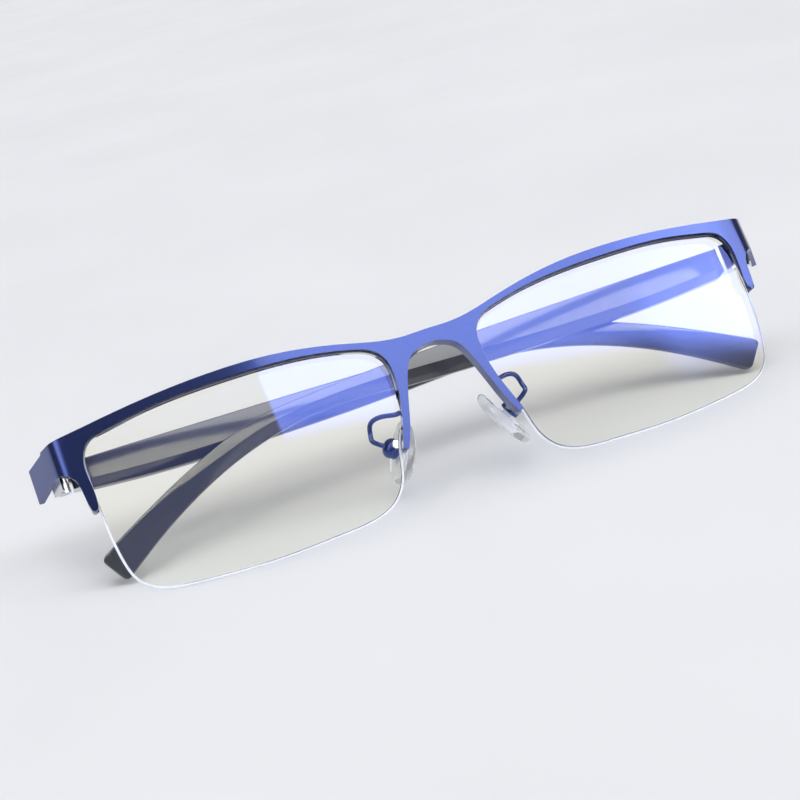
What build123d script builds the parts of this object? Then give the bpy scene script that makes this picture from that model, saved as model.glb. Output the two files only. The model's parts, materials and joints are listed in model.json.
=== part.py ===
"""Half-rim eyeglasses, folded and standing on the lens bottoms and the temple tips.

Every piece is drawn in the wearing frame: +X to the wearer's left, +Y to the back, +Z up,
with the origin at the bridge. The wearer's left side is drawn and mirrored for the right.
At the end all pieces are leaned back together until they stand on the ground.
"""

import os
from math import asin, cos, degrees, radians, sin, sqrt

from build123d import *

# ---- front, millimetres
FACE_Y = 0.8
FLAT_HALF = 20.0  # the face is flat this far from the bridge, then curves back
FACE_RADIUS = 125.0
BROW_DEPTH = 3.2
SHEET = 1.0  # endpiece sheet
BROW_END_X = 66.9
BEND_START_X = 68.0
BEND_RADIUS = 5.0
WRAP_ANGLE = 66.0  # endpiece side in plan, from the X axis
WRAP_LENGTH = 10.6
ABOVE, BELOW = 10.0, -40.0  # heights that clear the whole front

# ---- lenses, liners and cords
LENS_SETBACK = 0.8
LENS_THICK = 2.0
LENS_CENTRE_Z = -8.0
LENS_INSET = 0.25  # lens edge inside the rim opening
GROOVE_FRONT, GROOVE_BACK = 0.45, 1.55  # depths behind the lens front
GROOVE_REACH = 0.7  # groove bottom, outside the lens edge
LINER_REACH = 0.66
LINER_LOW = -9.0  # both ends of the liner
CORD_RADIUS = 0.3
CORD_OUT = 0.1

# ---- nose pads
PAD_LENGTH, PAD_WIDTH, PAD_THICK = 13.0, 7.4, 2.4
PAD_SPLAY, PAD_TILT = 28.0, 26.0
BOX_AT = (12.4, 9.6, -17.6)
BOX_RADIUS, BOX_BORE = 1.7, 1.3
BOX_BACK, BOX_MOUTH = -0.9, 1.3
PAD_BACK = 1.8  # pad's back face, from the screw axis
PLATE = (6.0, 3.0, 0.6)
BOSS_RADIUS = 0.95
PAD_SCREW_RADIUS = 0.45
WIRE_RADIUS = 0.45

# ---- hinges
PIVOT_X, PIVOT_Y, HINGE_Z = 70.0, 18.1, -1.9
SCREW_RADIUS = 0.5
SCREW_HEAD = (0.9, 0.45)
KNUCKLE_RADIUS, KNUCKLE_HEIGHT = 1.25, 1.75
EYELET_RADIUS, EYELET_HEIGHT = 1.15, 1.6
KNUCKLE_GAP = 0.04
RUNNING = 0.03
PLATE_THICK = 0.35

# ---- spring mechanism, distances from the pivot along the folded temple
ROD_Y = 20.9
ROD_RADIUS, ROD_END = 0.4, 11.1
ROD_HEAD = (0.7, 0.6)
SPRING_START, SPRING_END = 6.1, 9.2
SPRING_RADIUS, SPRING_WIRE = 0.62, 0.11
CASE_START, TEMPLE_START = 1.7, 5.0
TONGUE_END = 12.5
CAVITY = (0.85, 6.0, 12.0)

# ---- temples
SECOND_FOLD = 2.8  # the temple folded second is kept this far open by the first

# ---- how the folded glasses stand
LEAN = 32.2
ROLL = -1.7

# Front outlines as (x, z): the brow's top, the rim opening from the temporal stub round to
# the nasal arm, the arch under the bridge, the arch under the endpiece, and the lens's
# lower edge.
BROW_TOP = [
    (0, -0.4), (4.5, -0.45), (9, 0.1), (15, 1.6), (22, 3.1), (30, 4.2), (40, 4.7), (52, 4.6),
    (61, 4.2), (72, 3.8),
]
OPENING = [
    (65.3, -10.6), (65.3, -5), (65.0, -1), (63.3, 1.4), (60, 2.2), (54, 2.8), (47, 3.1),
    (38, 2.9), (28, 2.4), (20, 1.45), (14, 0.15), (11.2, -0.9), (9.3, -2.7), (8.5, -6.5),
    (9.1, -11.5), (10.4, -16.2), (11.5, -19.6),
]
BRIDGE_ARCH = [
    (10.7, -20.2), (9.2, -16.8), (8.0, -13), (6.8, -9.2), (5.8, -6.6), (4.2, -4.3),
    (2.2, -3.35), (0, -3.0),
]
END_ARCH = [
    (72, -2.5), (69.4, -2.8), (67.9, -4.0), (67.1, -6.4), (66.6, -10.3),
]
LENS_LOWER = [
    (10.6, -16.2), (12.3, -20.5), (13.4, -24.6), (16.0, -28.1), (20, -29.8), (27, -30.4),
    (36, -30.6), (45, -30.1), (54, -29.0), (59.9, -27.3), (62.6, -24.9), (64.0, -20.9),
    (64.8, -14.5), (65.05, -9.5),
]
# Temple outlines: s runs from the front end of the folded temple to the tip.
TEMPLE_TOP = [
    (0, 1.1), (30, 1.2), (60, 1.15), (75, 0.4), (88, -0.7), (97, -2.0), (105, -4.7),
    (113, -8.2), (132.8, -18.8),
]
TEMPLE_LOW = [
    (129.4, -23.9), (120, -17.4), (111, -12.2), (103, -8.6), (95, -6.0), (85, -4.2), (66, -4.3),
    (30, -5.5), (12, -5.3), (0, -4.5),
]
TEMPLE_INNER = [
    (0, 19.2), (15, 19.6), (35, 21.0), (55, 22.3), (70, 22.3), (85, 21.0), (95, 19.6),
    (110, 17.4), (136, 14.2),
]
TEMPLE_OUTER = [
    (136, 16.6), (110, 19.6), (95, 21.9), (85, 23.4), (70, 24.6), (55, 24.6), (35, 23.5),
    (15, 22.7), (0, 22.6),
]
CORE_TOP = [
    (9, -0.9), (60, -0.9), (80, -1.2), (97, -3.7), (112, -9.3), (126, -17.0),
]
CORE_HALF = 0.55


def face_turn(x):
    """Angle that the front face has turned back at distance x from the bridge."""
    return degrees(asin((x - FLAT_HALF) / FACE_RADIUS))


def bend_centre():
    """Plan centre of the endpiece bend."""
    a = radians(face_turn(BEND_START_X))
    inner = FACE_RADIUS - BEND_RADIUS
    return FLAT_HALF + inner * sin(a), FACE_Y + FACE_RADIUS - inner * cos(a)


def wrap_plane():
    """Outer side of the left endpiece: x runs back along it from the bend, z points out."""
    b = radians(WRAP_ANGLE)
    cx, cy = bend_centre()
    start = (cx + BEND_RADIUS * sin(b), cy - BEND_RADIUS * cos(b), 0)
    return Plane(origin=start, x_dir=(cos(b), sin(b), 0), z_dir=(sin(b), -cos(b), 0))


def lens_centre():
    """Centre of curvature of both faces of the left lens."""
    return FLAT_HALF, FACE_Y + FACE_RADIUS, LENS_CENTRE_Z


def lens_y(x, z, depth):
    """Y of a point in the left lens, depth behind its front."""
    cx, cy, cz = lens_centre()
    r = FACE_RADIUS - LENS_SETBACK - depth
    return cy - sqrt(r * r - (x - cx) ** 2 - (z - cz) ** 2)


def moved_out(points, amount, closed=False):
    """Outline moved to its right-hand side by amount."""
    out, last = [], len(points) - 1
    for i, (x, z) in enumerate(points):
        ax, az = points[i - 1] if i or closed else points[0]
        bx, bz = points[(i + 1) % len(points)] if i < last or closed else points[last]
        d = sqrt((bx - ax) ** 2 + (bz - az) ** 2)
        out.append((x + amount * (bz - az) / d, z - amount * (bx - ax) / d))
    return out


def front_slab(depth):
    """The front's curved sheet, depth thick, for x above 0, far above and below the rim."""
    a = face_turn(BEND_START_X)
    bx, by = bend_centre()
    arc_centre = (FLAT_HALF, FACE_Y + FACE_RADIUS)
    with BuildPart() as slab:
        with BuildSketch(Plane.XY.offset(BELOW)):
            with BuildLine():
                ends = []
                for d in (0.0, depth):
                    Line((0, FACE_Y + d), (FLAT_HALF, FACE_Y + d))
                    CenterArc(arc_centre, FACE_RADIUS - d, -90, a)
                    bend = CenterArc((bx, by), BEND_RADIUS - d, -90 + a, WRAP_ANGLE - a)
                    side = PolarLine(bend @ 1, WRAP_LENGTH, WRAP_ANGLE)
                    ends.append(side @ 1)
                Line((0, FACE_Y), (0, FACE_Y + depth))
                Line(*ends)
            make_face()
        extrude(amount=ABOVE - BELOW)
    return slab.part


def lens_shell(front, back):
    """Spherical shell about the left lens's centre, between two depths."""
    with BuildPart() as shell:
        with Locations(lens_centre()):
            Sphere(FACE_RADIUS - LENS_SETBACK - front)
            Sphere(FACE_RADIUS - LENS_SETBACK - back, mode=Mode.SUBTRACT)
    return shell.part


def lens_prism(grow):
    """The left lens's outline, grown, as a prism along Y in front of the temples."""
    edge = LENS_LOWER + moved_out(OPENING[1:-2], -LENS_INSET)
    with BuildPart() as prism:
        with BuildSketch(Plane.XZ.offset(5)):
            with BuildLine():
                Spline(*moved_out(edge, grow, closed=True), periodic=True)
            make_face()
        extrude(amount=-25)
    return prism.part


def front_outline():
    """The metal front's left half seen from the front, as a prism along Y."""
    with BuildPart() as prism:
        with BuildSketch(Plane.XZ.offset(5)):
            with BuildLine():
                Spline(*BROW_TOP, tangents=[(1, 0), (1, -0.03)])
                Line(BROW_TOP[-1], END_ARCH[0])
                Spline(*END_ARCH)
                ThreePointArc(END_ARCH[-1], (65.95, -11.0), OPENING[0])
                Spline(*OPENING)
                ThreePointArc(OPENING[-1], (11.25, -20.3), BRIDGE_ARCH[0])
                Spline(*BRIDGE_ARCH, tangents=[(-0.5, 1), (-1, 0)])
                Line(BRIDGE_ARCH[-1], BROW_TOP[0])
            make_face()
        extrude(amount=-25)
    return prism.part


def wrap_block():
    """The endpiece's side as seen square on, as a block through the sheet."""
    with BuildPart() as block:
        with BuildSketch(wrap_plane().offset(1)):
            with BuildLine():
                low = [(-1.0, -2.6), (3.0, -2.5), (WRAP_LENGTH, -3.8)]
                Polyline(*low, (WRAP_LENGTH, 2.8), (-1.0, 3.75), close=True)
            make_face()
        extrude(amount=-4)
    return block.part


def half_front():
    """Left half of the metal front."""
    with BuildPart() as half:
        add(front_slab(BROW_DEPTH))
        with BuildSketch(Plane.XZ.offset(5)):
            with Locations((BROW_END_X / 2, 0)):
                Rectangle(BROW_END_X, 2 * ABOVE - 2 * BELOW)
        extrude(amount=-25, mode=Mode.INTERSECT)
        add(front_outline(), mode=Mode.INTERSECT)
    with BuildPart() as endpiece:
        add(front_slab(SHEET))
        add(front_outline(), mode=Mode.INTERSECT)
    with BuildPart() as side:
        add(front_slab(SHEET))
        add(wrap_block(), mode=Mode.INTERSECT)
    with BuildPart() as groove:
        add(lens_shell(GROOVE_FRONT, GROOVE_BACK))
        add(lens_prism(GROOVE_REACH), mode=Mode.INTERSECT)
    with BuildPart() as whole:
        add(half.part)
        add(endpiece.part)
        add(side.part)
        add(groove.part, mode=Mode.SUBTRACT)
    return whole.part


def lens():
    """Left lens with the groove for the cord in its lower edge."""
    with BuildPart() as body:
        add(lens_shell(0, LENS_THICK))
        add(lens_prism(0), mode=Mode.INTERSECT)
        add(cord(CORD_RADIUS + 0.02), mode=Mode.SUBTRACT)
    return body.part


def cord(radius):
    """Cord lying in the lens's lower edge, from the nasal arm to the temporal stub."""
    middle = (GROOVE_FRONT + GROOVE_BACK) / 2
    with BuildPart() as body:
        with BuildLine():
            edge = moved_out(LENS_LOWER, CORD_OUT)
            path = Spline(*[(x, lens_y(x, z, middle), z) for x, z in edge])
        with BuildSketch(Plane(origin=path @ 0, z_dir=path % 0)):
            Circle(radius)
        sweep(transition=Transition.ROUND)
    return body.part


def liner():
    """Strip between the rim groove and the lens's upper edge."""
    with BuildPart() as body:
        add(lens_shell(GROOVE_FRONT + 0.02, GROOVE_BACK - 0.02))
        add(lens_prism(LINER_REACH), mode=Mode.INTERSECT)
        add(lens_prism(0.02), mode=Mode.SUBTRACT)
        with Locations((36, 5, LINER_LOW + 10)):
            Box(80, 60, 20, mode=Mode.INTERSECT)
    return body.part


def pad_plane():
    """Across the pad box: z points to the nose, x down the pad, y to the back."""
    t, p = radians(PAD_TILT), radians(PAD_SPLAY)
    toward = (-cos(t) * cos(p), cos(t) * sin(p), -sin(t))
    down = (sin(t) * cos(p), -sin(t) * sin(p), -cos(t))
    return Plane(origin=BOX_AT, x_dir=down, z_dir=toward)


def screw_plane():
    """Across the pad screw, z pointing out of its head, to the front."""
    at = pad_plane()
    return Plane(origin=BOX_AT, x_dir=at.x_dir, z_dir=at.y_dir * (-1 if at.y_dir.Y > 0 else 1))


def pad_box():
    """Round cup that holds the pad's boss."""
    at = pad_plane()
    with BuildPart() as body:
        with BuildSketch(at.offset(BOX_BACK)):
            Circle(BOX_RADIUS)
        extrude(amount=BOX_MOUTH - BOX_BACK)
        with BuildSketch(at.offset(BOX_MOUTH)):
            Circle(BOX_BORE)
        extrude(amount=-(BOX_MOUTH - BOX_BACK - 0.35), mode=Mode.SUBTRACT)
        with BuildSketch(screw_plane()):
            Circle(PAD_SCREW_RADIUS)
        extrude(amount=3, both=True, mode=Mode.SUBTRACT)
    return body.part


def pad_screw():
    """Screw across the box, on which the pad rocks."""
    at = screw_plane()
    with BuildPart() as body:
        with BuildSketch(at.offset(-BOX_RADIUS)):
            Circle(PAD_SCREW_RADIUS)
        extrude(amount=2 * BOX_RADIUS)
        with BuildSketch(at.offset(BOX_RADIUS)):
            Circle(0.8)
        extrude(amount=0.4)
        with BuildSketch(at.offset(BOX_RADIUS + 0.4)):
            Rectangle(2, 0.22)
        extrude(amount=-0.2, mode=Mode.SUBTRACT)
    return body.part


def pad_core():
    """Boss with a cross hole, on the plate that the silicone is moulded round."""
    at = pad_plane()
    with BuildPart() as body:
        with BuildSketch(at.offset(-0.45)):
            Circle(BOSS_RADIUS)
        extrude(amount=PAD_BACK + 0.9 + 0.45)
        with BuildSketch(at.offset(PAD_BACK + 0.6)):
            SlotOverall(PLATE[0], PLATE[1])
        extrude(amount=PLATE[2])
        with BuildSketch(screw_plane()):
            Circle(PAD_SCREW_RADIUS + RUNNING)
        extrude(amount=3, both=True, mode=Mode.SUBTRACT)
    return body.part


def nose_pad():
    """Oval silicone pad round the core."""
    with BuildPart() as body:
        with BuildSketch(pad_plane().offset(PAD_BACK)):
            Ellipse(PAD_LENGTH / 2, PAD_WIDTH / 2)
        extrude(amount=PAD_THICK)
        fillet(body.edges(), radius=0.9)
        add(pad_core(), mode=Mode.SUBTRACT)
    return body.part


def pad_arm():
    """Wire from the back of the nasal arm, looped outward to the box."""
    root = (8.6, FACE_Y + BROW_DEPTH, -12.6)
    box = pad_plane().offset(BOX_BACK)
    bends = [(9.6, 5.9, -12.8), (12.1, 7.3, -12.1), (14.6, 8.3, -12.6), (15.2, 8.6, -14.6)]
    with BuildPart() as body:
        with BuildLine():
            path = Spline(root, *bends, box.origin, tangents=[(0, 1, 0), box.z_dir])
        with BuildSketch(Plane(origin=path @ 0, z_dir=path % 0)):
            Circle(WIRE_RADIUS)
        sweep(transition=Transition.ROUND)
    return body.part


def hinge_leaf():
    """Plate brazed inside the endpiece, with the upper and lower knuckle."""
    wrap = wrap_plane()
    pivot = wrap.to_local_coords(Vector(PIVOT_X, PIVOT_Y, 0))
    with BuildPart() as body:
        with BuildSketch(wrap.offset(-SHEET)):
            with Locations((pivot.X - 1.2, HINGE_Z)):
                Rectangle(4.4, 2 * KNUCKLE_HEIGHT + EYELET_HEIGHT + 2 * KNUCKLE_GAP)
        extrude(amount=-PLATE_THICK)
        for low in (
            HINGE_Z + EYELET_HEIGHT / 2 + KNUCKLE_GAP,
            HINGE_Z - EYELET_HEIGHT / 2 - KNUCKLE_GAP - KNUCKLE_HEIGHT,
        ):
            with BuildSketch(wrap.offset(-SHEET)):
                with Locations((pivot.X - 0.4, low + KNUCKLE_HEIGHT / 2)):
                    Rectangle(1.7, KNUCKLE_HEIGHT)
            extrude(amount=pivot.Z + SHEET)
            with BuildSketch(Plane.XY.offset(low)):
                with Locations((PIVOT_X, PIVOT_Y)):
                    Circle(KNUCKLE_RADIUS)
            extrude(amount=KNUCKLE_HEIGHT)
        with BuildSketch(Plane.XY.offset(BELOW)):
            with Locations((PIVOT_X, PIVOT_Y)):
                Circle(SCREW_RADIUS)
        extrude(amount=-2 * BELOW, mode=Mode.SUBTRACT)
    return body.part


def hinge_screw():
    """Hinge screw with a slotted head on the upper knuckle."""
    reach = EYELET_HEIGHT / 2 + KNUCKLE_GAP + KNUCKLE_HEIGHT
    with BuildPart() as body:
        with BuildSketch(Plane.XY.offset(HINGE_Z - reach)):
            with Locations((PIVOT_X, PIVOT_Y)):
                Circle(SCREW_RADIUS)
        extrude(amount=2 * reach)
        with BuildSketch(Plane.XY.offset(HINGE_Z + reach)):
            with Locations((PIVOT_X, PIVOT_Y)):
                Circle(SCREW_HEAD[0])
        extrude(amount=SCREW_HEAD[1])
        with BuildSketch(Plane.XY.offset(HINGE_Z + reach + SCREW_HEAD[1])):
            with Locations((PIVOT_X, PIVOT_Y)):
                Rectangle(3, 0.22)
        extrude(amount=-0.2, mode=Mode.SUBTRACT)
    return body.part


def from_pivot(*pairs):
    """Plan points from (distance along the folded temple, y) pairs."""
    return [(PIVOT_X - a, y) for a, y in pairs]


def rod_plane(a):
    """Across the rod at distance a from the pivot, z pointing to the tip."""
    return Plane(origin=(PIVOT_X - a, ROD_Y, HINGE_Z), x_dir=(0, 1, 0), z_dir=(-1, 0, 0))


def slider():
    """Eyelet, cranked arm and headed rod of the spring hinge."""
    with BuildPart() as body:
        with BuildSketch(Plane.XY.offset(HINGE_Z - EYELET_HEIGHT / 2)):
            with Locations((PIVOT_X, PIVOT_Y)):
                Circle(EYELET_RADIUS)
            with BuildLine():
                near = from_pivot((0.7, 17.6), (2.6, 18.2), (4.1, 19.9), (4.1, 21.4))
                far = from_pivot((3.4, 21.0), (2.3, 19.9), (0.2, 19.1))
                Polyline(*near, *far, close=True)
            make_face()
        extrude(amount=EYELET_HEIGHT)
        with BuildSketch(Plane.XY.offset(BELOW)):
            with Locations((PIVOT_X, PIVOT_Y)):
                Circle(SCREW_RADIUS + RUNNING)
        extrude(amount=-2 * BELOW, mode=Mode.SUBTRACT)
        with BuildSketch(rod_plane(4.0)):
            Circle(ROD_RADIUS)
        extrude(amount=ROD_END - 4.0)
        with BuildSketch(rod_plane(ROD_END)):
            Circle(ROD_HEAD[0])
        extrude(amount=-ROD_HEAD[1])
    return body.part


def hinge_spring():
    """Coil spring round the rod, shown at its length with the slider drawn out."""
    turns = 6
    pitch = (SPRING_END - SPRING_START - 2 * SPRING_WIRE) / turns
    start = rod_plane(SPRING_START + SPRING_WIRE)
    with BuildPart() as body:
        with BuildLine():
            axis = {"center": start.origin, "direction": start.z_dir}
            coil = Helix(pitch, pitch * turns, SPRING_RADIUS, **axis)
        with BuildSketch(Plane(origin=coil @ 0, z_dir=coil % 0)):
            Circle(SPRING_WIRE)
        sweep(is_frenet=True)
    return body.part


def spring_case():
    """Metal case of the spring hinge: a head at the hinge and a tongue in the temple."""
    bore, cavity_start, cavity_end = CAVITY
    with BuildPart() as body:
        with BuildSketch(Plane.XY.offset(-4.3)):
            with BuildLine():
                upper = from_pivot((1.7, 17.1), (1.7, 20.0), (4.5, 21.3))
                lower = from_pivot((4.98, 21.5), (4.98, 17.6), (4.5, 17.1))
                Polyline(*upper, *lower, close=True)
            make_face()
        extrude(amount=5.2)
        with BuildSketch(rod_plane(4.9)):
            Rectangle(2.2, 3.0)
        extrude(amount=TONGUE_END - 4.9)
        with BuildSketch(Plane.XY.offset(HINGE_Z - EYELET_HEIGHT / 2 - 0.1)):
            with BuildLine():
                Polyline(*from_pivot((0, 17.75), (4.3, 17.75), (4.3, 24), (0, 24)), close=True)
            make_face()
        extrude(amount=EYELET_HEIGHT + 0.2, mode=Mode.SUBTRACT)
        with BuildSketch(rod_plane(4.0)):
            Circle(ROD_RADIUS + RUNNING)
        extrude(amount=3.0, mode=Mode.SUBTRACT)
        with BuildSketch(rod_plane(cavity_start)):
            Circle(bore)
        extrude(amount=cavity_end - cavity_start, mode=Mode.SUBTRACT)
    return body.part


def temple_slab(inner, outer):
    """Solid between two plan curves given as (s, y), tall enough for the whole temple."""
    with BuildPart() as body:
        with BuildSketch(Plane.XY.offset(BELOW)):
            with BuildLine():
                start = PIVOT_X - TEMPLE_START
                first = Spline(*[(start - s, y) for s, y in inner])
                second = Spline(*[(start - s, y) for s, y in outer])
                Line(first @ 1, second @ 0)
                Line(second @ 1, first @ 0)
            make_face()
        extrude(amount=ABOVE - BELOW)
    return body.part


def temple_prism(top, low):
    """Side outline given as (s, z), as a prism along Y through the temple."""
    start = PIVOT_X - TEMPLE_START
    with BuildPart() as body:
        with BuildSketch(Plane.XZ.offset(-5)):
            with BuildLine():
                upper = Spline(*[(start - s, z) for s, z in top])
                lower = Spline(*[(start - s, z) for s, z in low])
                Line(upper @ 1, lower @ 0)
                Line(lower @ 1, upper @ 0)
            make_face()
        extrude(amount=-35)
    return body.part


def core_wire():
    """Metal stiffener along the middle of the temple."""
    middle = [(s, (y + temple_outer_y(s)) / 2) for s, y in TEMPLE_INNER]
    inner = [(s, y - CORE_HALF) for s, y in middle]
    outer = [(s, y + CORE_HALF) for s, y in reversed(middle)]
    low = [(s, z - 2 * CORE_HALF) for s, z in reversed(CORE_TOP)]
    with BuildPart() as body:
        add(temple_slab(inner, outer))
        add(temple_prism(CORE_TOP, low), mode=Mode.INTERSECT)
        add(spring_case(), mode=Mode.SUBTRACT)
    return body.part


def temple_outer_y(s):
    """Y of the temple's outer face at a listed distance s."""
    return dict(TEMPLE_OUTER)[s]


def temple():
    """Plastic temple with its drop tip, hollow for the case's tongue and the core wire."""
    with BuildPart() as body:
        add(temple_slab(TEMPLE_INNER, TEMPLE_OUTER))
        add(temple_prism(TEMPLE_TOP, TEMPLE_LOW), mode=Mode.INTERSECT)
        with BuildSketch(rod_plane(TEMPLE_START - 1)):
            Rectangle(2.2, 3.0)
        extrude(amount=TONGUE_END - TEMPLE_START + 1, mode=Mode.SUBTRACT)
        add(core_wire(), mode=Mode.SUBTRACT)
    return body.part


# ---------------------------------------------------------------- the assembly
RIGHT_PIVOT = Location((-PIVOT_X, PIVOT_Y, 0))
SECOND_TURN = RIGHT_PIVOT * Location((0, 0, 0), (0, 0, SECOND_FOLD)) * RIGHT_PIVOT.inverse()
STANDING = Location((0, 0, 0), (-LEAN, 0, 0)) * Location((0, 0, 0), (0, ROLL, 0))

sides = {
    "lens": lens(),
    "rim_liner": liner(),
    "nylon_cord": cord(CORD_RADIUS),
    "pad_arm": pad_arm(),
    "pad_box": pad_box(),
    "pad_core": pad_core(),
    "nose_pad": nose_pad(),
    "hinge_leaf": hinge_leaf(),
}
folding = {
    "slider": slider(),
    "hinge_spring": hinge_spring(),
    "spring_case": spring_case(),
    "core_wire": core_wire(),
    "temple": temple(),
}

left = half_front()
with BuildPart() as front_frame:
    add(left)
    mirror(left, about=Plane.YZ)
pieces = {"front_frame": front_frame.part}

for screws, one in (("pad_screws", pad_screw()), ("hinge_screws", hinge_screw())):
    with BuildPart() as pair:
        add(one)
        mirror(one, about=Plane.YZ)
    pieces[screws] = pair.part

for word, one in (sides | folding).items():
    with BuildPart() as other:
        mirror(one, about=Plane.YZ)
    pieces["left_" + word] = one
    pieces["right_" + word] = SECOND_TURN * other.part if word in folding else other.part

leaned = {name: STANDING * piece for name, piece in pieces.items()}
corner_low = [min(getattr(p.bounding_box().min, k) for p in leaned.values()) for k in "XYZ"]
corner_high = [max(getattr(p.bounding_box().max, k) for p in leaned.values()) for k in "XYZ"]
TO_GROUND = Location(
    (-(corner_low[0] + corner_high[0]) / 2, -(corner_low[1] + corner_high[1]) / 2, -corner_low[2])
)
PLACED = TO_GROUND * STANDING

os.makedirs("parts", exist_ok=True)
for name, piece in pieces.items():
    placed = PLACED * piece
    placed.label = name
    export_step(placed, f"parts/{name}.step")
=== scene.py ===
"""Half-rim eyeglasses, folded: meshes, finishes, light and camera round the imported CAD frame.

Pieces that stand for a CAD node are drawn in the wearing frame, in millimetres: +X to the
wearer's left, +Y to the back, +Z up, from the bridge. WEAR takes them to the row frame.
"""

import json
from math import cos, pi, radians, sin, sqrt, tan

import bmesh
import bpy
import numpy as np
from mathutils import Matrix, Vector


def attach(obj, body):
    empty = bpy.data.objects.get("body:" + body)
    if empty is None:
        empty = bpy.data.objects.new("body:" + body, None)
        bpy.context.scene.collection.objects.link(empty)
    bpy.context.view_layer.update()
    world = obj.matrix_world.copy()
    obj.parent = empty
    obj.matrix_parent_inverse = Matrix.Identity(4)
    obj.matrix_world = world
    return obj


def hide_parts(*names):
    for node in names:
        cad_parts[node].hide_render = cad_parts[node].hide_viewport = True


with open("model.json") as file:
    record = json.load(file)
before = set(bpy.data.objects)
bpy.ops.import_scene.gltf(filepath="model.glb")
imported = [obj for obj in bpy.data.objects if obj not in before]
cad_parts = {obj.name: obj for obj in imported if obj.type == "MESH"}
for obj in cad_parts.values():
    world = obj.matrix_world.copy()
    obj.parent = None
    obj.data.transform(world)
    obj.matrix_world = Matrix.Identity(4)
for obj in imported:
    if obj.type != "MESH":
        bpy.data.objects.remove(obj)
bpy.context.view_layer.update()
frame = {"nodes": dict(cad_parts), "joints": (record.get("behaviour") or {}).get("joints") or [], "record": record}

MM = 0.001
SIDES = ("left", "right")

# ---- the hinges, in the wearing frame
PIVOT_X, PIVOT_Y, HINGE_Z = 70.0, 18.1, -1.9
TEMPLE_START = 5.0
SECOND_FOLD = 2.8  # degrees that the temple folded second stays open

# ---- temple outlines: each first number runs from the front end of the folded temple to the tip
TEMPLE_TOP = [
    (0, 1.1), (30, 1.2), (60, 1.15), (75, 0.4), (88, -0.7), (97, -2.0), (105, -4.7), (113, -8.2),
    (132.8, -18.8),
]
TEMPLE_LOW = [
    (0, -4.5), (12, -5.3), (30, -5.5), (66, -4.3), (85, -4.2), (95, -6.0), (103, -8.6), (111, -12.2),
    (120, -17.4), (129.4, -23.9),
]
TEMPLE_INNER = [
    (0, 19.2), (15, 19.6), (35, 21.0), (55, 22.3), (70, 22.3), (85, 21.0), (95, 19.6), (110, 17.4), (136, 14.2),
]
TEMPLE_OUTER = [
    (0, 22.6), (15, 22.7), (35, 23.5), (55, 24.6), (70, 24.6), (85, 23.4), (95, 21.9), (110, 19.6), (136, 16.6),
]
# Where the flat of the inner face ends and its lower facet begins, as a share of the height
FACET = [
    (0, 0.72), (9, 0.73), (53, 0.58), (65, 0.50), (90, 0.50), (108, 0.42), (116, 0.22),
    (122, 0.10), (136, 0.10),
]
STATIONS = 150  # rings along the temple
FACET_DROP = 0.95  # depth of the facet at the temple's lower edge
EDGE = 0.22  # rounding of the temple's edges
TEMPLE_LENGTH = 138.0  # along the outline
TIP_ROUND = [(1.5, 1.0), (0.85, 0.96), (0.35, 0.88), (0.08, 0.76), (0.0, 0.6)]  # (before the end, size)

# ---- nose pads
PAD_SPLAY, PAD_TILT = 28.0, 26.0
BOX_AT = (12.4, 9.6, -17.6)
PAD_LENGTH, PAD_WIDTH = 13.0, 7.4
PAD_BACK = 1.8  # pad's back face, from the boss centre
PAD_DROP = 0.10  # how much wider the lower end is than the upper
PAD_SIDES = 48
# (height above the pad's back face, share of the outline)
PAD_PROFILE = [
    (0.0, 0.55), (0.02, 0.80), (0.22, 0.93), (0.65, 0.995), (1.2, 1.0), (1.7, 0.965), (2.1, 0.87), (2.32, 0.68),
    (2.39, 0.42), (2.4, 0.18),
]

CUP_SIDES = 40
# (height along the boss, radius), round the outside and into the bore
BOX_PROFILE = [
    (-1.15, 0.3), (-1.1, 0.85), (-0.9, 1.35), (-0.5, 1.72), (0.0, 1.88), (0.5, 1.86), (0.75, 1.8), (0.85, 1.84),
    (1.1, 1.86), (1.25, 1.78), (1.3, 1.6), (1.25, 1.42), (1.1, 1.32), (0.2, 1.3), (-0.3, 1.2), (-0.5, 0.4),
]

RIM_EDGE = 0.18  # rounding of the front's edges

# ---- the camera, in the wearing frame
CAMERA_AT = (-71.37, -283.23, -72.53)
CAMERA_RIGHT = Vector((0.9267, -0.1269, -0.3537))
CAMERA_UP = Vector((0.3120, -0.2645, 0.9125))
CAMERA_LENS = 74.62
SENSOR = 36.0

FLOOR_HALF = 40.0  # metres, so that its far edge is out of view


# ---------------------------------------------------------------- frames
def wearing_frame():
    """Wearing frame to row frame, from the two hinge axes."""
    joints = {j["name"]: j for j in frame["joints"]}
    left = Vector(joints["left_temple_fold"]["pos_m"])
    right = Vector(joints["right_temple_fold"]["pos_m"])
    up = -Vector(joints["left_temple_fold"]["axis"])
    across = (left - right).normalized()
    turn = Matrix((across, up.cross(across), up)).transposed().to_4x4()
    home = Matrix.Translation((0, -PIVOT_Y, -HINGE_Z))
    return Matrix.Translation((left + right) / 2) @ turn @ Matrix.Scale(MM, 4) @ home


WEAR = wearing_frame()
MIRROR = Matrix.Scale(-1, 4, (1, 0, 0))


def second_turn():
    """The right temple's opening angle, about its hinge, in the wearing frame."""
    pivot = Matrix.Translation((-PIVOT_X, PIVOT_Y, 0))
    return pivot @ Matrix.Rotation(radians(SECOND_FOLD), 4, "Z") @ pivot.inverted()


def placed(side, folding=False):
    """Matrix that takes the left side's drawing to this side, in the row frame."""
    if side == "left":
        return WEAR
    return WEAR @ second_turn() @ MIRROR if folding else WEAR @ MIRROR


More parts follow.
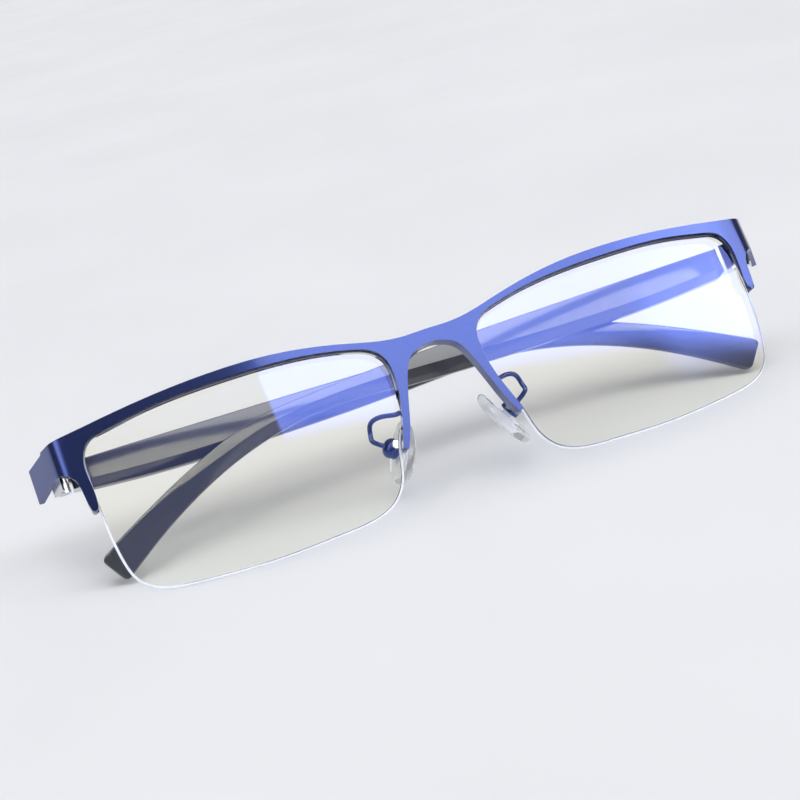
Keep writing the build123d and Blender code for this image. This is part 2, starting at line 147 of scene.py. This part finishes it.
# ---------------------------------------------------------------- meshes
def natural_spline(points):
    """Natural cubic through (position, value) points, as a function of position."""
    x, y = np.array(points, float).T
    h = np.diff(x)
    n = len(x)
    rows = np.eye(n)
    slope = np.zeros(n)
    for i in range(1, n - 1):
        rows[i, i - 1 : i + 2] = h[i - 1], 2 * (h[i - 1] + h[i]), h[i]
        slope[i] = 6 * ((y[i + 1] - y[i]) / h[i] - (y[i] - y[i - 1]) / h[i - 1])
    m = np.linalg.solve(rows, slope)

    def value(at):
        i = int(np.clip(np.searchsorted(x, at) - 1, 0, n - 2))
        a, b = (x[i + 1] - at) / h[i], (at - x[i]) / h[i]
        bend = ((a**3 - a) * m[i] + (b**3 - b) * m[i + 1]) * h[i] ** 2 / 6
        return float(a * y[i] + b * y[i + 1] + bend)

    return value


def path_spline(points):
    """Natural cubic through plane points, as a function of the share of its length."""
    p = np.array(points, float)
    t = np.r_[0, np.cumsum(np.linalg.norm(np.diff(p, axis=0), axis=1))]
    t = t / t[-1]
    parts = [natural_spline(list(zip(t, p[:, k]))) for k in range(p.shape[1])]
    return lambda share: [part(share) for part in parts]


def new_object(name, bm, sharp=30):
    """Object from a bmesh, shaded smooth but for edges over sharp degrees."""
    bmesh.ops.recalc_face_normals(bm, faces=bm.faces)
    mesh = bpy.data.meshes.new(name)
    bm.to_mesh(mesh)
    bm.free()
    mesh.shade_smooth()
    mesh.set_sharp_from_angle(angle=radians(sharp))
    obj = bpy.data.objects.new(name, mesh)
    bpy.context.scene.collection.objects.link(obj)
    return obj


def loft(bm, rings):
    """Closed rings of points joined by quads, with a face across each end."""
    rows = [[bm.verts.new(p) for p in ring] for ring in rings]
    for a, b in zip(rows, rows[1:]):
        for i in range(len(a)):
            k = (i + 1) % len(a)
            bm.faces.new((a[i], a[k], b[k], b[i]))
    bm.faces.new(rows[0][::-1])
    bm.faces.new(rows[-1])


def weigh_normals(obj):
    """Lets an object's large faces shade flat."""
    obj.modifiers.new("normals", "WEIGHTED_NORMAL").weight = 90


def soften(obj, width):
    """Rounds an object's edges with a bevel modifier."""
    bevel = obj.modifiers.new("bevel", "BEVEL")
    bevel.width = width * MM
    bevel.segments = 2
    bevel.limit_method = "ANGLE"
    bevel.angle_limit = radians(28)
    weigh_normals(obj)
    return obj


def stand_for(obj, node, body, slot):
    """Finishes a piece: the CAD node that it stands for, its body, and the finish of its slot."""
    obj.data.materials.clear()
    obj.data.materials.append(FINISH[slot])
    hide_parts(node)
    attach(obj, body)


def welded(node, name, width):
    """Copy of a CAD node's mesh with its flat faces merged and its edges rounded."""
    bm = bmesh.new()
    bm.from_mesh(frame["nodes"][node].data)
    bmesh.ops.remove_doubles(bm, verts=bm.verts, dist=1e-6)
    bmesh.ops.dissolve_limit(bm, angle_limit=radians(0.05), verts=bm.verts, edges=bm.edges)
    return soften(new_object(name, bm, 60), width)


# ---------------------------------------------------------------- materials
def material(name, **sockets):
    """Principled material; a socket's name has _ for each space."""
    mat = bpy.data.materials.new(name)
    mat.use_nodes = True
    shader = mat.node_tree.nodes["Principled BSDF"]
    for socket, value in sockets.items():
        shader.inputs[socket.replace("_", " ")].default_value = value
    return mat


def noise(mat, scale, detail=3.0, stretch=(1, 1, 1)):
    """Noise over the piece's own coordinates, scale in cycles per metre."""
    tree = mat.node_tree
    place = tree.nodes.new("ShaderNodeTexCoord")
    mapping = tree.nodes.new("ShaderNodeMapping")
    mapping.inputs["Scale"].default_value = stretch
    texture = tree.nodes.new("ShaderNodeTexNoise")
    texture.inputs["Scale"].default_value = scale
    texture.inputs["Detail"].default_value = detail
    tree.links.new(place.outputs["Object"], mapping.inputs["Vector"])
    tree.links.new(mapping.outputs["Vector"], texture.inputs["Vector"])
    return texture.outputs["Fac"]


def vary(mat, socket, low, high, source):
    """Drives a number socket between low and high by a noise."""
    tree = mat.node_tree
    span = tree.nodes.new("ShaderNodeMapRange")
    span.inputs["From Min"].default_value = 0.3
    span.inputs["From Max"].default_value = 0.7
    span.inputs["To Min"].default_value = low
    span.inputs["To Max"].default_value = high
    tree.links.new(source, span.inputs["Value"])
    tree.links.new(span.outputs["Result"], tree.nodes["Principled BSDF"].inputs[socket])


def tint(mat, low, high, source):
    """Drives the base colour between two colours by a noise."""
    tree = mat.node_tree
    ramp = tree.nodes.new("ShaderNodeValToRGB")
    ramp.color_ramp.elements[0].position = 0.32
    ramp.color_ramp.elements[0].color = (*low, 1)
    ramp.color_ramp.elements[1].position = 0.68
    ramp.color_ramp.elements[1].color = (*high, 1)
    tree.links.new(source, ramp.inputs["Fac"])
    tree.links.new(ramp.outputs["Color"], tree.nodes["Principled BSDF"].inputs["Base Color"])


def relief(mat, distance, strength, source):
    """Fine surface relief by a noise, distance in metres."""
    tree = mat.node_tree
    bump = tree.nodes.new("ShaderNodeBump")
    bump.inputs["Distance"].default_value = distance
    bump.inputs["Strength"].default_value = strength
    tree.links.new(source, bump.inputs["Height"])
    tree.links.new(bump.outputs["Normal"], tree.nodes["Principled BSDF"].inputs["Normal"])


def let_light_through(mat):
    """Adds a clear path for light on its way to the floor, which thin glass hardly shades."""
    tree = mat.node_tree
    shader = tree.nodes["Principled BSDF"]
    path = tree.nodes.new("ShaderNodeLightPath")
    clear = tree.nodes.new("ShaderNodeBsdfTransparent")
    clear.inputs["Color"].default_value = (0.97, 0.98, 0.99, 1)
    mix = tree.nodes.new("ShaderNodeMixShader")
    either = tree.nodes.new("ShaderNodeMath")
    either.operation = "MAXIMUM"
    tree.links.new(path.outputs["Is Shadow Ray"], either.inputs[0])
    tree.links.new(path.outputs["Is Diffuse Ray"], either.inputs[1])
    tree.links.new(either.outputs[0], mix.inputs["Fac"])
    tree.links.new(shader.outputs["BSDF"], mix.inputs[1])
    tree.links.new(clear.outputs["BSDF"], mix.inputs[2])
    tree.links.new(mix.outputs["Shader"], tree.nodes["Material Output"].inputs["Surface"])


def blue_metal():
    """Satin metallic blue lacquer with fine flake under a clear coat."""
    mat = material("blue_lacquer", Metallic=1.0, Coat_Weight=0.45, Coat_Roughness=0.06, Coat_IOR=1.5)
    tint(mat, (0.032, 0.054, 0.205), (0.042, 0.064, 0.235), noise(mat, 4000, 3))
    vary(mat, "Roughness", 0.17, 0.23, noise(mat, 6000, 2))
    relief(mat, 0.000002, 0.2, noise(mat, 14000, 2))
    return mat


def black_plastic():
    """Glossy near-black injected plastic with a faint flow pattern."""
    mat = material("temple_plastic", Specular_IOR_Level=0.8, Coat_Weight=0.5, Coat_Roughness=0.05)
    tint(mat, (0.034, 0.035, 0.043), (0.044, 0.045, 0.054), noise(mat, 160, 4, (0.3, 1, 1)))
    vary(mat, "Roughness", 0.14, 0.20, noise(mat, 1200, 3))
    relief(mat, 0.000004, 0.1, noise(mat, 900, 2))
    return mat


def clear_lens():
    """Coated lens: clear, with the blue-violet reflection of its coating."""
    mat = material(
        "coated_lens",
        Base_Color=(0.985, 0.985, 1.0, 1),
        Transmission_Weight=1.0,
        IOR=1.56,
        Specular_IOR_Level=0.5,
        Specular_Tint=(0.32, 0.52, 2.2, 1),
    )
    vary(mat, "Roughness", 0.0, 0.012, noise(mat, 60, 2))
    let_light_through(mat)
    return mat


def silicone():
    """Clear soft silicone with a slight milkiness."""
    mat = material("pad_silicone", Transmission_Weight=0.86, IOR=1.41, Coat_Weight=0.3)
    tint(mat, (0.93, 0.94, 0.96), (0.985, 0.99, 1.0), noise(mat, 500, 3))
    vary(mat, "Roughness", 0.06, 0.16, noise(mat, 900, 3))
    relief(mat, 0.00002, 0.2, noise(mat, 700, 2))
    let_light_through(mat)
    return mat


def nylon():
    """Clear nylon line."""
    mat = material("nylon_line", Transmission_Weight=0.25, IOR=1.4)
    tint(mat, (0.88, 0.88, 0.97), (0.96, 0.96, 1.0), noise(mat, 900, 2))
    vary(mat, "Roughness", 0.08, 0.2, noise(mat, 1500, 2))
    let_light_through(mat)
    return mat


def steel():
    """Bright plated steel with fine drawn lines."""
    mat = material("bright_steel", Metallic=1.0)
    tint(mat, (0.60, 0.61, 0.64), (0.78, 0.79, 0.81), noise(mat, 1800, 3, (1, 1, 6)))
    vary(mat, "Roughness", 0.14, 0.28, noise(mat, 3000, 2, (1, 1, 5)))
    relief(mat, 0.000003, 0.3, noise(mat, 6000, 2, (1, 1, 5)))
    return mat


def floor_finish():
    """Pale matt table top."""
    mat = material("table_top", Specular_IOR_Level=0.25)
    tint(mat, (0.685, 0.69, 0.71), (0.715, 0.72, 0.74), noise(mat, 9, 3))
    vary(mat, "Roughness", 0.55, 0.7, noise(mat, 40, 3))
    return mat


FINISH = {
    "blue_metal": blue_metal(),
    "grey_plastic": black_plastic(),
    "clear_lens": clear_lens(),
    "silicone": silicone(),
    "clear_nylon": nylon(),
    "steel": steel(),
}


# ---------------------------------------------------------------- the temples
def temple_ring(top, low, facet, inner, outer):
    """Cross-section of the temple between a point of its top and of its lower outline.

    A depth of 0 or more counts back from the inner face, and one below 0 counts from -1 at the outer face.
    """
    height = sqrt((low[0] - top[0]) ** 2 + (low[1] - top[1]) ** 2)
    e = EDGE / height

    def at(share, depth):
        s, z = (a + (b - a) * share for a, b in zip(top, low))
        near, far = inner(s), outer(s)
        y = near + depth if depth >= 0 else far + depth + 1
        return PIVOT_X - TEMPLE_START - s, y, z

    back = -1
    return [
        at(e, 0), at((e + facet) / 2, 0), at(facet - e / 4, 0), at(facet + e / 4, 0.02),
        at((1 + facet) / 2, FACET_DROP / 2), at(1 - e, FACET_DROP),
        at(1 - e / 3, FACET_DROP + 0.12), at(1, FACET_DROP + 0.4),
        at(1, back - EDGE), at(1 - e / 3, back - EDGE / 3), at(1 - e, back),
        at(0.5, back), at(e, back), at(e / 3, back - EDGE / 3), at(0, back - EDGE),
        at(0, EDGE), at(e / 3, EDGE / 3),
    ]


def shrunk(ring, keep):
    """A ring drawn in towards its middle."""
    middle = sum((Vector(p) for p in ring), Vector()) / len(ring)
    return [middle.lerp(Vector(p), keep) for p in ring]


def temple(side):
    """Plastic temple: flat inner face with a lower facet, and a drop tip."""
    top, low = path_spline(TEMPLE_TOP), path_spline(TEMPLE_LOW)
    inner, outer = natural_spline(TEMPLE_INNER), natural_spline(TEMPLE_OUTER)
    facet = natural_spline(FACET)

    def ring_at(share):
        a, b = top(share), low(share)
        return temple_ring(a, b, facet((a[0] + b[0]) / 2), inner, outer)

    bm = bmesh.new()
    last = 1 - TIP_ROUND[0][0] / TEMPLE_LENGTH
    rings = [ring_at(last * i / STATIONS) for i in range(STATIONS)]
    for back, keep in TIP_ROUND:
        share = 1 - back / TEMPLE_LENGTH
        rings.append(shrunk(ring_at(share), keep))
    loft(bm, rings)
    bmesh.ops.transform(bm, matrix=placed(side, folding=True), verts=bm.verts)
    obj = new_object(f"{side}_temple_shell", bm, 40)
    weigh_normals(obj)
    stand_for(obj, f"{side}_temple", f"{side}_temple_arm", "grey_plastic")


# ---------------------------------------------------------------- the nose pads
def pad_frame():
    """Left pad's axes: down the pad, to the back, and to the nose."""
    t, p = radians(PAD_TILT), radians(PAD_SPLAY)
    toward = Vector((-cos(t) * cos(p), cos(t) * sin(p), -sin(t)))
    down = Vector((sin(t) * cos(p), -sin(t) * sin(p), -cos(t)))
    return down, toward.cross(down), toward


def nose_pad(side):
    """Crowned drop-shaped pad."""
    down, across, toward = pad_frame()
    centre = Vector(BOX_AT) + toward * PAD_BACK
    bm = bmesh.new()
    rings = []
    for height, share in PAD_PROFILE:
        ring = []
        for i in range(PAD_SIDES):
            a = 2 * pi * i / PAD_SIDES
            long = cos(a) * PAD_LENGTH / 2 * share
            wide = sin(a) * PAD_WIDTH / 2 * share * (1 + PAD_DROP * cos(a)) / (1 + PAD_DROP / 2)
            ring.append(centre + down * long + across * wide + toward * height)
        rings.append(ring)
    loft(bm, rings)
    bmesh.ops.transform(bm, matrix=placed(side), verts=bm.verts)
    obj = new_object(f"{side}_pad_cushion", bm)
    smooth = obj.modifiers.new("smooth", "SUBSURF")
    smooth.levels = smooth.render_levels = 1
    stand_for(obj, f"{side}_nose_pad", f"{side}_pad", "silicone")


def pad_box(side):
    """Rounded cup with a beaded mouth, turned about the pad's boss."""
    down, across, toward = pad_frame()
    bm = bmesh.new()
    rings = []
    for height, radius in BOX_PROFILE:
        turn = (2 * pi * i / CUP_SIDES for i in range(CUP_SIDES))
        rings.append([
            Vector(BOX_AT) + toward * height + (down * cos(a) + across * sin(a)) * radius for a in turn
        ])
    loft(bm, rings)
    bmesh.ops.transform(bm, matrix=placed(side), verts=bm.verts)
    obj = new_object(f"{side}_pad_cup", bm, 50)
    stand_for(obj, f"{side}_pad_box", "front", "blue_metal")


# ---------------------------------------------------------------- carried-over nodes
def finish_nodes():
    """Gives each CAD node that is shown the finish of its slot."""
    for part in frame["record"]["subparts"]:
        obj = frame["nodes"][part["node"]]
        obj.data.materials.clear()
        obj.data.materials.append(FINISH[part["material_slot"]])
    for side in SIDES:
        for word in ("pad_core", "rim_liner"):
            frame["nodes"][f"{side}_{word}"].data.materials[0] = FINISH["clear_nylon"]


# ---------------------------------------------------------------- stage
def direction(azimuth, elevation):
    """Unit vector; azimuth 0 is in front and 90 on the wearer's left."""
    a, e = radians(azimuth), radians(elevation)
    return Vector((sin(a) * cos(e), -cos(a) * cos(e), sin(e)))


def sun(azimuth, elevation, width, strength):
    """Broad even light from one direction."""
    data = bpy.data.lights.new("overhead", "SUN")
    data.angle = radians(width)
    data.energy = strength
    obj = bpy.data.objects.new("overhead", data)
    obj.rotation_euler = direction(azimuth, elevation).to_track_quat("Z", "Y").to_euler()
    bpy.context.scene.collection.objects.link(obj)


class Sky:
    """World shader: a soft sky with bright rectangular panels in it."""

    def __init__(self, horizon, zenith):
        world = bpy.data.worlds.new("studio")
        bpy.context.scene.world = world
        world.use_nodes = True
        self.tree = world.node_tree
        self.looks = self.tree.nodes.new("ShaderNodeTexCoord").outputs["Generated"]
        height = self.dot(Vector((0, 0, 1)))
        self.total = self.span(self.math("POWER", height, 4.0), 0, 1, horizon, zenith)

    def math(self, operation, a, b):
        node = self.tree.nodes.new("ShaderNodeMath")
        node.operation = operation
        for socket, value in zip(node.inputs, (a, b)):
            if isinstance(value, (int, float)):
                socket.default_value = value
            else:
                self.tree.links.new(value, socket)
        return node.outputs[0]

    def dot(self, axis):
        node = self.tree.nodes.new("ShaderNodeVectorMath")
        node.operation = "DOT_PRODUCT"
        node.inputs[1].default_value = axis
        self.tree.links.new(self.looks, node.inputs[0])
        return node.outputs["Value"]

    def span(self, value, low, high, to_low, to_high):
        node = self.tree.nodes.new("ShaderNodeMapRange")
        node.interpolation_type = "SMOOTHSTEP"
        for name, number in zip(("From Min", "From Max", "To Min", "To Max"), (low, high, to_low, to_high)):
            node.inputs[name].default_value = number
        self.tree.links.new(value, node.inputs["Value"])
        return node.outputs["Result"]

    def panel(self, azimuth, elevation, roll, width, height, soft, strength):
        """Adds a panel; width, height and the soft edge (sides, bottom) are in degrees."""
        ahead = direction(azimuth, elevation)
        level = Vector((0, 0, 1)).cross(-ahead).normalized()
        right = Matrix.Rotation(radians(roll), 3, ahead) @ level
        depth = self.math("MAXIMUM", self.dot(ahead), 0.01)
        x = self.math("DIVIDE", self.dot(right), depth)
        y = self.math("DIVIDE", self.dot(right.cross(ahead)), depth)
        half, tall = tan(radians(width / 2)), tan(radians(height / 2))
        side, low = tan(radians(soft[0])), tan(radians(soft[1]))
        shares = (
            self.span(x, -half, -half + side, 0, 1), self.span(x, half - side, half, 1, 0),
            self.span(y, -tall, -tall + low, 0, 1), self.span(y, tall - side, tall, 1, 0),
        )
        light = strength
        for share in shares:
            light = self.math("MULTIPLY", share, light)
        self.total = self.math("ADD", self.total, light)

    def finish(self):
        background = self.tree.nodes["Background"]
        background.inputs["Color"].default_value = (0.97, 0.98, 1.0, 1)
        self.tree.links.new(self.total, background.inputs["Strength"])


def floor():
    """The table top under the glasses."""
    bm = bmesh.new()
    bmesh.ops.create_grid(bm, x_segments=8, y_segments=8, size=FLOOR_HALF)
    obj = new_object("table_top", bm)
    obj.data.materials.append(floor_finish())


def camera():
    """Camera at the photographed angle."""
    turn = WEAR.to_quaternion().to_matrix()
    right, up = CAMERA_RIGHT.normalized(), CAMERA_UP.normalized()
    axes = Matrix((right, up, right.cross(up))).transposed()
    data = bpy.data.cameras.new("camera")
    data.lens = CAMERA_LENS
    data.sensor_width = SENSOR
    data.clip_start = 0.01
    obj = bpy.data.objects.new("camera", data)
    obj.matrix_world = Matrix.Translation(WEAR @ Vector(CAMERA_AT)) @ (turn @ axes).to_4x4()
    bpy.context.scene.collection.objects.link(obj)
    bpy.context.scene.camera = obj


camera()
floor()
sky = Sky(0.24, 1.35)
# The window light that the lenses and the right brow mirror, its fill, and a strip for the left bend
sky.panel(46.6, 41, -32, 73, 25, (1.5, 6), 3.2)
sky.panel(64, 27, -20, 34, 26, (10, 8), 1.6)
sky.panel(-83, 40, 0, 38, 50, (16, 10), 3.2)
sky.finish()
sun(-10, 74, 30, 0.6)
bpy.context.scene.view_settings.view_transform = "Standard"

finish_nodes()
for side in SIDES:
    temple(side)
    nose_pad(side)
    pad_box(side)
stand_for(welded("front_frame", "rim", RIM_EDGE), "front_frame", "front", "blue_metal")
